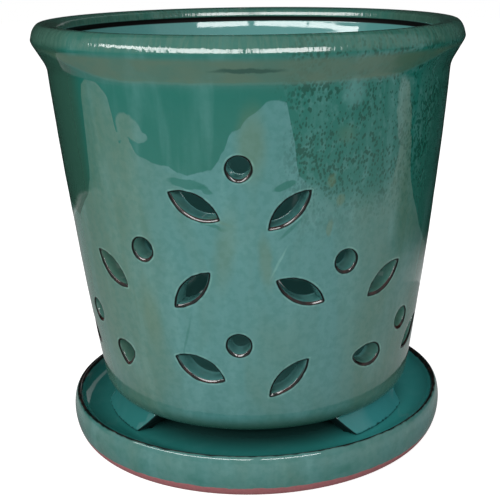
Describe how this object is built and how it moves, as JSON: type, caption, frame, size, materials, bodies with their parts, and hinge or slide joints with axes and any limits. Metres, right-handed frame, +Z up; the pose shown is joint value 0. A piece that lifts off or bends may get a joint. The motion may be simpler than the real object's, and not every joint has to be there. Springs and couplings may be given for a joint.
{
  "type": "orchid pot with saucer",
  "caption": "Thrown ceramic orchid pot with a tapered wall pierced by round holes and almond slots, a rolled rim and short feet, standing loose in its saucer.",
  "frame": {"origin": "on the table, under the middle of the saucer", "axes": "+Z up along the axis that the pot and the saucer were thrown on, -Y to the front, where the top hole of one pyramid of holes and the notch between two feet face, +X to the viewer's right"},
  "size_m": [0.2032, 0.2032, 0.202],
  "materials": {
    "glazed_stoneware": "glossy",
    "saucer_stoneware": "glossy"
  },
  "bodies": {
    "saucer": {"saucer": "saucer_stoneware"},
    "pot": {"pot_body": "glazed_stoneware", "foot_left": "glazed_stoneware", "foot_right": "glazed_stoneware", "foot_back": "glazed_stoneware"}
  },
  "joints": [
    {"name": "pot_lift", "type": "slide", "parent": "saucer", "child": "pot", "axis": [0, 0, 1], "range_m": [0, 0.06]}
  ]
}
